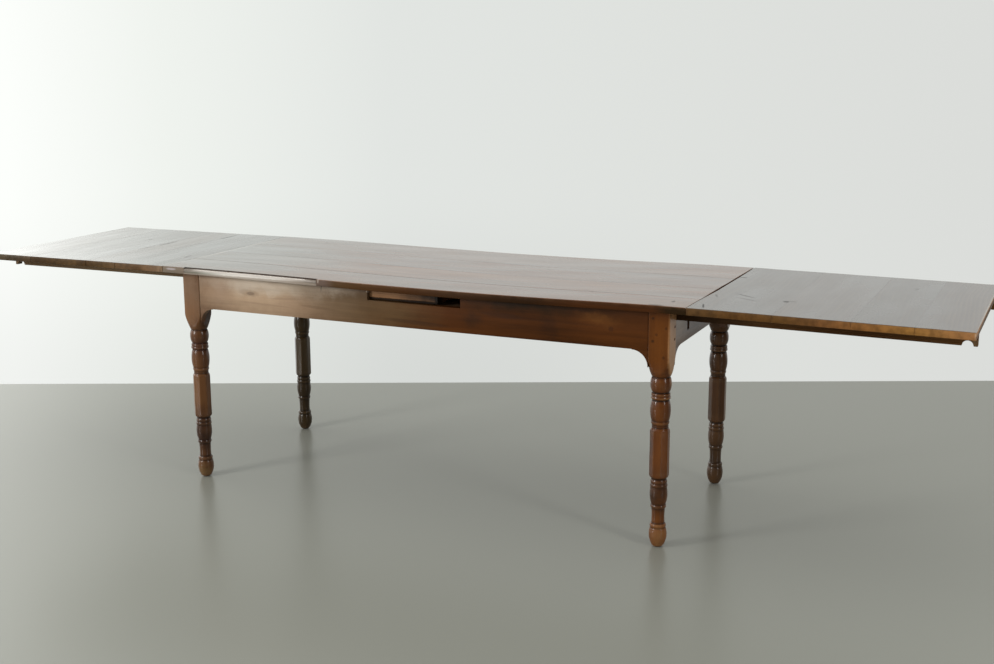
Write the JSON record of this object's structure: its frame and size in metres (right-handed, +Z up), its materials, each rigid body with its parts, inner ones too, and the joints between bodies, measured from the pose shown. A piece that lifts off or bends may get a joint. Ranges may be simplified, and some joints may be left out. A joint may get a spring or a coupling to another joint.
{
  "type": "draw leaf table",
  "caption": "Wooden farmhouse draw leaf table with turned legs, a loose lift-up main top and a sliding leaf on lopers at each end, drawn open.",
  "frame": {"origin": "on the floor under the middle of the main top, leaves drawn out", "axes": "+Z up, +X along the table towards the end with the out-of-square joint, front of the table faces -Y"},
  "size_m": [3.458, 0.776, 0.765],
  "materials": {
    "leg_wood": "worn waxed polish",
    "frame_wood": "worn waxed polish",
    "inner_wood": "unfinished",
    "peg_wood": "waxed",
    "top_wood": "glossy wax polish",
    "strip_wood": "glossy wax polish",
    "left_leaf_wood": "glossy wax polish",
    "right_leaf_wood": "glossy wax polish",
    "loper_wood": "worn waxed polish",
    "screw_steel": "dull"
  },
  "bodies": {
    "frame": {"leg_front_left": "leg_wood", "leg_front_right": "leg_wood", "leg_rear_left": "leg_wood", "leg_rear_right": "leg_wood", "apron_front": "frame_wood", "apron_rear": "frame_wood", "end_rail_left": "frame_wood", "end_rail_right": "frame_wood", "apron_bracket_front_left": "frame_wood", "apron_bracket_front_right": "frame_wood", "apron_bracket_rear_left": "frame_wood", "apron_bracket_rear_right": "frame_wood", "rail_bracket_front_left": "frame_wood", "rail_bracket_front_right": "frame_wood", "rail_bracket_rear_left": "frame_wood", "rail_bracket_rear_right": "frame_wood", "bearer_left": "inner_wood", "bearer_right": "inner_wood", "keeper_left": "inner_wood", "keeper_right": "inner_wood", "centre_bearer": "inner_wood", "guide_pegs": "peg_wood", "frame_pegs": "peg_wood"},
    "main_top": {"top_board_front": "top_wood", "top_board_mid_front": "top_wood", "top_board_mid_rear": "top_wood", "top_board_rear": "top_wood", "edge_strip": "strip_wood", "top_batten": "inner_wood", "batten_screws": "screw_steel"},
    "left_leaf": {"left_leaf_board_outer": "left_leaf_wood", "left_leaf_board_second": "left_leaf_wood", "left_leaf_board_third": "left_leaf_wood", "left_leaf_board_inner": "left_leaf_wood", "left_loper_front": "loper_wood", "left_loper_rear": "loper_wood", "left_leaf_screws": "screw_steel", "left_stop_pegs": "peg_wood"},
    "right_leaf": {"right_leaf_board_outer": "right_leaf_wood", "right_leaf_board_second": "right_leaf_wood", "right_leaf_board_third": "right_leaf_wood", "right_leaf_board_inner": "right_leaf_wood", "right_loper_front": "loper_wood", "right_loper_rear": "loper_wood", "right_leaf_screws": "screw_steel", "right_stop_pegs": "peg_wood"}
  },
  "joints": [
    {"name": "top_lift", "type": "slide", "parent": "frame", "child": "main_top", "axis": [0, 0, 1], "range_m": [0, 0.03]},
    {"name": "left_leaf_slide", "type": "slide", "parent": "frame", "child": "left_leaf", "axis": [-1, 0, 0], "range_m": [0, 0.08]},
    {"name": "right_leaf_slide", "type": "slide", "parent": "frame", "child": "right_leaf", "axis": [1, 0, 0], "range_m": [0, 0.08]}
  ]
}
